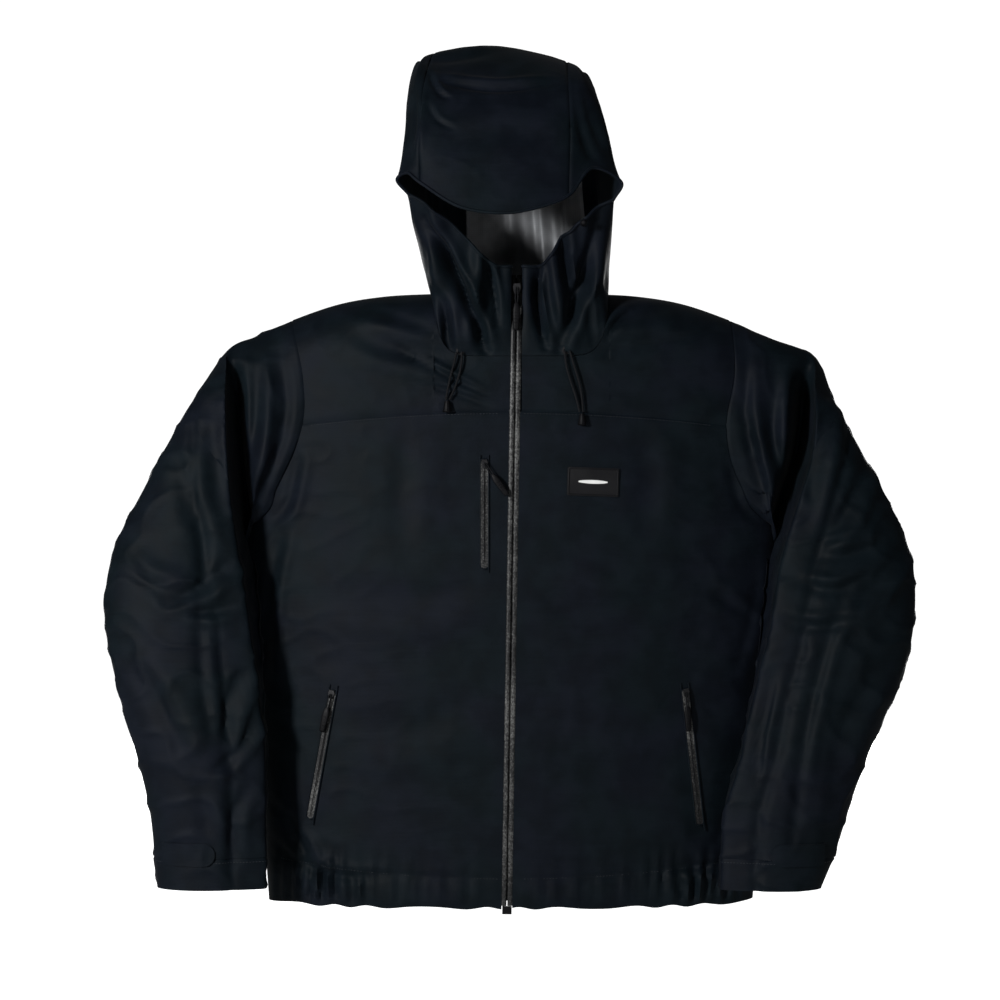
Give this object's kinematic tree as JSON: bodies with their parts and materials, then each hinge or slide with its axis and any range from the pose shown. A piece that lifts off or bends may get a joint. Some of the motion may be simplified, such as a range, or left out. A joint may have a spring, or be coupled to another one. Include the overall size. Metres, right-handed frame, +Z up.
{
  "type": "hardshell jacket",
  "caption": "Hooded waterproof shell jacket with full-length front zip, chest and hand pocket zips, hood drawcords, adjustable cuffs and an elastic hem cord",
  "frame": {"origin": "the hang loop inside the back neck, where the jacket hangs", "axes": "+Z up, front faces -Y, +X towards the viewer's right (the wearer's left sleeve)"},
  "size_m": [0.946, 0.2098, 1.0133],
  "materials": {
    "shell_fabric": "fine plain weave, near-black navy, soft sheen, slightly crinkled",
    "lining": "silver-grey laminated backer with a soft satin sheen",
    "coated_zip": "glossy polyurethane-coated tape, speckled grey",
    "dark_metal": "black lacquered zinc, worn to a dull shine on the edges",
    "moulded_black": "black moulded plastic with a fine grain",
    "cord": "black braided cord",
    "webbing": "black woven tape",
    "patch_rubber": "dark grey moulded rubber with a low raised border, blank"
  },
  "bodies": {
    "shell": {"left_front_panel": "shell_fabric", "right_front_panel": "shell_fabric", "left_front_yoke": "shell_fabric", "right_front_yoke": "shell_fabric", "back_panel": "shell_fabric", "back_yoke": "shell_fabric", "left_collar": "shell_fabric", "right_collar": "shell_fabric", "main_zip_left_half": "coated_zip", "main_zip_right_half": "coated_zip", "main_zip_box": "moulded_black", "storm_flap": "shell_fabric", "chin_guard": "lining", "chest_zip": "coated_zip", "left_hand_zip": "coated_zip", "right_hand_zip": "coated_zip", "chest_pocket_bag": "lining", "left_hand_pocket_bag": "lining", "right_hand_pocket_bag": "lining", "chest_patch": "patch_rubber", "left_drawcord_inner": "cord", "left_drawcord_outer": "cord", "left_drawcord_end": "moulded_black", "left_drawcord_eyelet": "dark_metal", "right_drawcord_inner": "cord", "right_drawcord_outer": "cord", "right_drawcord_end": "moulded_black", "right_drawcord_eyelet": "dark_metal", "hem_cord": "cord", "left_hem_cord_lock": "moulded_black", "right_hem_cord_lock": "moulded_black", "hang_loop": "webbing"},
    "hood": {"hood_centre_panel": "shell_fabric", "left_hood_side": "shell_fabric", "right_hood_side": "shell_fabric", "hood_brim": "shell_fabric", "hood_cord_toggle": "moulded_black"},
    "left_arm": {"left_sleeve_cap": "shell_fabric", "left_upper_sleeve": "shell_fabric"},
    "right_arm": {"right_sleeve_cap": "shell_fabric", "right_upper_sleeve": "shell_fabric"},
    "left_lower_arm": {"left_forearm": "shell_fabric", "left_cuff": "shell_fabric"},
    "right_lower_arm": {"right_forearm": "shell_fabric", "right_cuff": "shell_fabric"},
    "left_tab": {"left_cuff_tab": "shell_fabric"},
    "right_tab": {"right_cuff_tab": "shell_fabric"},
    "left_lock_button": {"left_hem_lock_button": "moulded_black"},
    "right_lock_button": {"right_hem_lock_button": "moulded_black"},
    "main_slider": {"main_zip_slider": "dark_metal"},
    "main_pull": {"main_zip_pull": "moulded_black"},
    "chest_slider": {"chest_zip_slider": "dark_metal"},
    "chest_pull": {"chest_zip_pull": "moulded_black"},
    "left_hand_slider": {"left_hand_zip_slider": "dark_metal"},
    "left_hand_pull": {"left_hand_zip_pull": "moulded_black"},
    "right_hand_slider": {"right_hand_zip_slider": "dark_metal"},
    "right_hand_pull": {"right_hand_zip_pull": "moulded_black"}
  },
  "joints": [
    {"name": "left_shoulder", "type": "hinge", "parent": "shell", "child": "left_arm", "pos_m": [-0.262, -0.045, -0.019], "axis": [0, 1, 0], "range_deg": [0, 40]},
    {"name": "right_shoulder", "type": "hinge", "parent": "shell", "child": "right_arm", "pos_m": [0.264, -0.045, -0.019], "axis": [0, -1, 0], "range_deg": [0, 40]},
    {"name": "left_elbow", "type": "hinge", "parent": "left_arm", "child": "left_lower_arm", "pos_m": [-0.392, -0.14, -0.3395], "axis": [-1, 0, 0], "range_deg": [0, 60]},
    {"name": "right_elbow", "type": "hinge", "parent": "right_arm", "child": "right_lower_arm", "pos_m": [0.392, -0.14, -0.3395], "axis": [-1, 0, 0], "range_deg": [0, 60]},
    {"name": "hood_fold", "type": "hinge", "parent": "shell", "child": "hood", "pos_m": [0.012, 0.004, 0.012], "axis": [-1, 0, 0], "range_deg": [0, 55]},
    {"name": "left_tab_peel", "type": "hinge", "parent": "left_lower_arm", "child": "left_tab", "pos_m": [-0.405, -0.1347, -0.64], "axis": [0, 0, -1], "range_deg": [0, 60]},
    {"name": "right_tab_peel", "type": "hinge", "parent": "right_lower_arm", "child": "right_tab", "pos_m": [0.369, -0.14053, -0.64], "axis": [0, 0, 1], "range_deg": [0, 60]},
    {"name": "main_zip_travel", "type": "slide", "parent": "shell", "child": "main_slider", "axis": [-0.0161, 0, -0.9999], "range_m": [0, 0.69]},
    {"name": "main_pull_lift", "type": "hinge", "parent": "main_slider", "child": "main_pull", "pos_m": [0.00661, -0.1212, 0.013], "axis": [-0.9999, 0, 0.0161], "range_deg": [0, 85]},
    {"name": "chest_zip_travel", "type": "slide", "parent": "shell", "child": "chest_slider", "axis": [0, 0, -1], "range_m": [0, 0.108]},
    {"name": "chest_pull_lift", "type": "hinge", "parent": "chest_slider", "child": "chest_pull", "pos_m": [-0.03106, -0.12225, -0.191], "axis": [-0.8138, 0.0096, -0.581], "range_deg": [0, 85]},
    {"name": "left_hand_zip_travel", "type": "slide", "parent": "shell", "child": "left_hand_slider", "axis": [-0.182, 0.0602, -0.9815], "range_m": [0, 0.134]},
    {"name": "left_hand_pull_lift", "type": "hinge", "parent": "left_hand_slider", "child": "left_hand_pull", "pos_m": [-0.21016, -0.10452, -0.45998], "axis": [-0.9367, 0.2547, 0.2402], "range_deg": [0, 85]},
    {"name": "right_hand_zip_travel", "type": "slide", "parent": "shell", "child": "right_hand_slider", "axis": [0.1117, 0.0362, -0.9931], "range_m": [0, 0.143]},
    {"name": "right_hand_pull_lift", "type": "hinge", "parent": "right_hand_slider", "child": "right_hand_pull", "pos_m": [0.20474, -0.10577, -0.45802], "axis": [-0.9699, -0.2389, -0.0474], "range_deg": [0, 85]},
    {"name": "left_lock_press", "type": "slide", "parent": "shell", "child": "left_lock_button", "axis": [0, 0, -1], "range_m": [0, 0.004], "stiffness_N_per_m": 250, "springref_m": -0.002},
    {"name": "right_lock_press", "type": "slide", "parent": "shell", "child": "right_lock_button", "axis": [0, 0, -1], "range_m": [0, 0.004], "stiffness_N_per_m": 250, "springref_m": -0.002}
  ]
}
